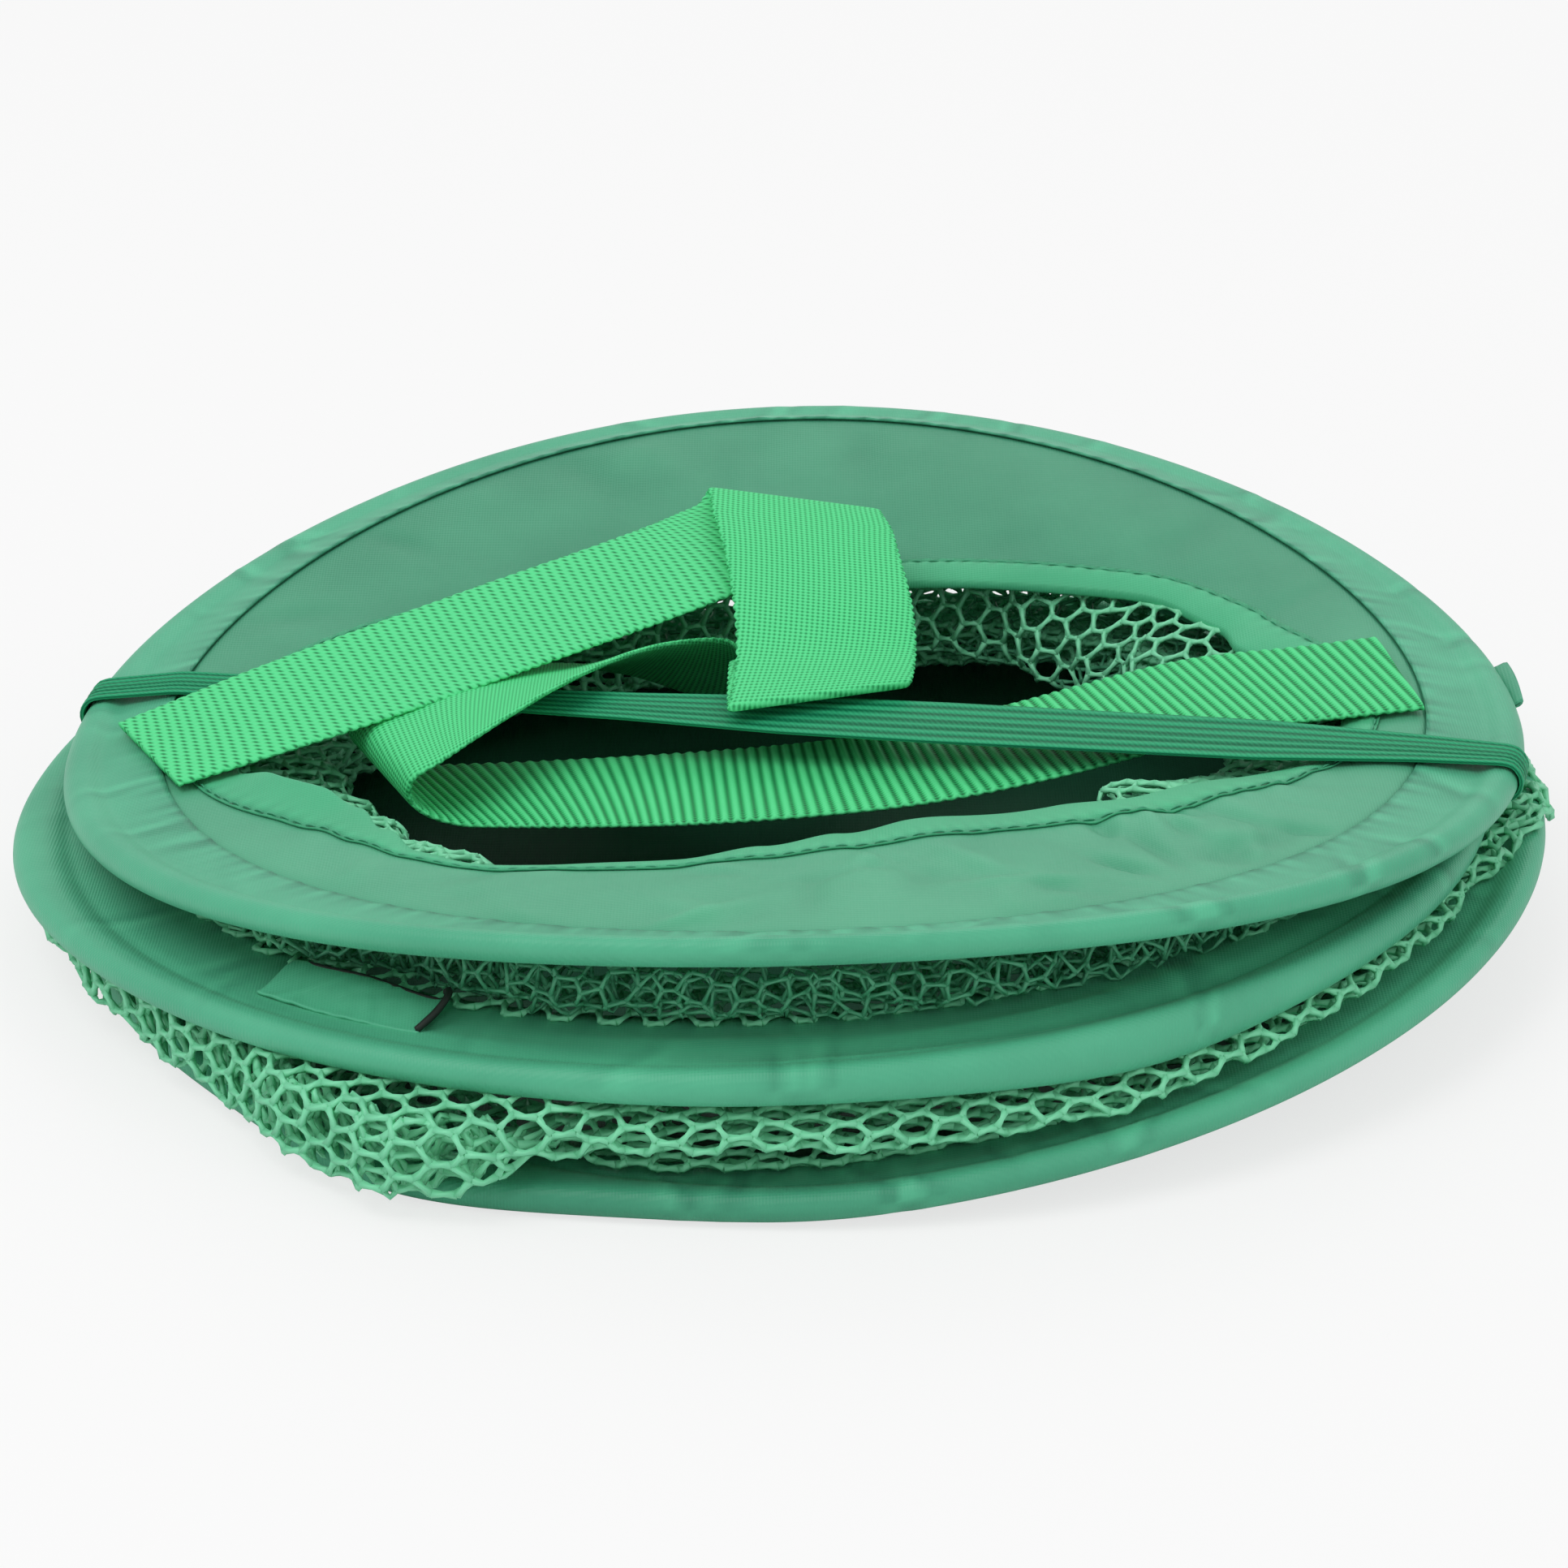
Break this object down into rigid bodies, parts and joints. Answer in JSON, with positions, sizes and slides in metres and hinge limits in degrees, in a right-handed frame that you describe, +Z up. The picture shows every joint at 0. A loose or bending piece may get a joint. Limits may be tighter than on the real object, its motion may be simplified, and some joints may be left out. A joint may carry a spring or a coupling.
{
  "type": "folding crab trap",
  "caption": "Round folding crab trap packed flat: spring-wire hoops in fabric sleeves with net walls between, a collar with an oval opening, a carry strap and an elastic band.",
  "frame": {"origin": "on the ground under the middle of the top hoop, on the underside of the floor cloth", "axes": "+Z up, -Y towards the front of the opening, +X along the retaining band to the raised end"},
  "size_m": [0.3129, 0.312, 0.0578],
  "materials": {
    "spring_wire": "drawn spring steel",
    "ferrule_metal": "crimped steel",
    "sleeve_fabric": "woven nylon, slight sheen",
    "collar_fabric": "woven nylon, slight sheen",
    "floor_fabric": "woven nylon",
    "net_cord": "knotless polyethylene netting",
    "strap_webbing": "flat woven webbing",
    "band_elastic": "braided elastic, ribbed",
    "thread": "sewing thread"
  },
  "bodies": {
    "base": {"base_hoop": "spring_wire", "base_ferrule": "ferrule_metal", "base_sleeve": "sleeve_fabric", "base_floor": "floor_fabric", "lower_net": "net_cord"},
    "mid": {"mid_hoop": "spring_wire", "mid_ferrule": "ferrule_metal", "mid_sleeve": "sleeve_fabric", "sleeve_lap": "sleeve_fabric", "thread_tail": "thread"},
    "top": {"top_hoop": "spring_wire", "top_ferrule": "ferrule_metal", "top_sleeve": "sleeve_fabric", "top_collar": "collar_fabric", "opening_hem": "collar_fabric", "carry_strap": "strap_webbing", "rim_tab": "sleeve_fabric", "upper_net": "net_cord"},
    "band": {"retaining_band": "band_elastic"}
  },
  "joints": [
    {"name": "pop_up", "type": "slide", "parent": "base", "child": "top", "axis": [0, 0, 1], "range_m": [0, 0.28], "deforming": ["upper_net"]},
    {"name": "mid_rise", "type": "slide", "parent": "base", "child": "mid", "axis": [0, 0, 1], "range_m": [0, 0.14], "deforming": ["lower_net"]},
    {"name": "band_off", "type": "slide", "parent": "mid", "child": "band", "axis": [0, -0.9979, -0.0649], "range_m": [0, 0.17], "deforming": ["retaining_band"]}
  ],
  "couplings": [
    {"joint": "mid_rise", "follows": "pop_up", "ratio": 0.5},
    {"joint": "band_off", "follows": "pop_up", "ratio": 0.60714}
  ]
}
